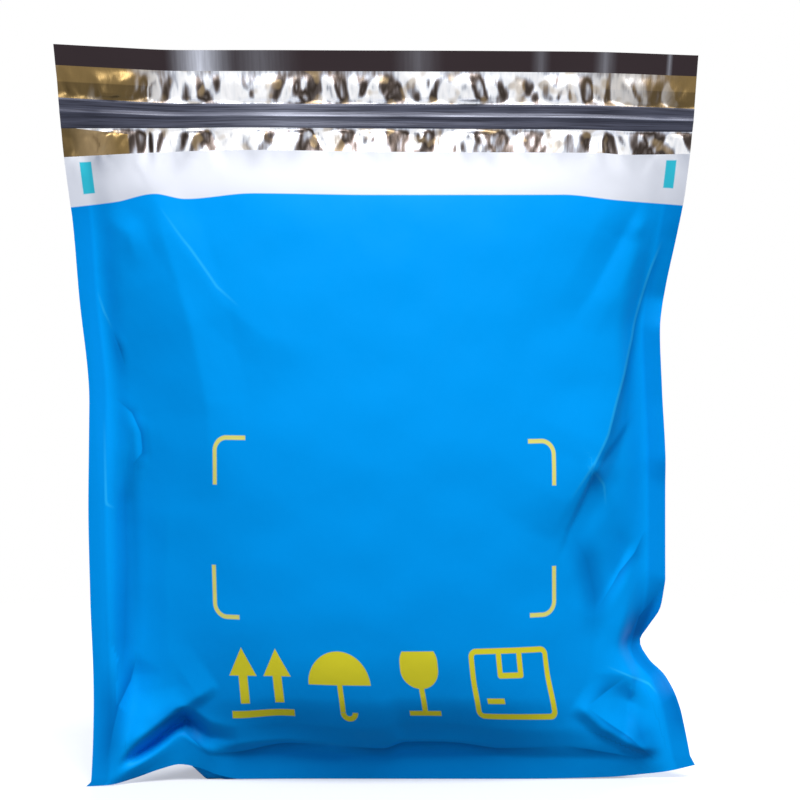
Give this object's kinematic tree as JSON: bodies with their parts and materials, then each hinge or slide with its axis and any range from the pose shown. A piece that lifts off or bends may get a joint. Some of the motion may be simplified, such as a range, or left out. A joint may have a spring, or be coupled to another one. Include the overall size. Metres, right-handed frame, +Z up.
{
  "type": "poly mailer bag",
  "caption": "Filled poly mailer bag of printed film: sealed sides, foot fin and head, with a press-to-close zip across its foil band, standing on its base.",
  "frame": {"origin": "on the floor under the middle of the standing bag", "axes": "+Z up from the base to the head seal, +X to the right across the bag seen from the front, -Y towards the front"},
  "size_m": [0.34, 0.1104, 0.3875],
  "materials": {
    "printed_film": "soft-gloss printed polyethylene film with a metallised foil band at its head"
  },
  "bodies": {
    "root": {"mailer_bag": "printed_film"}
  },
  "joints": []
}
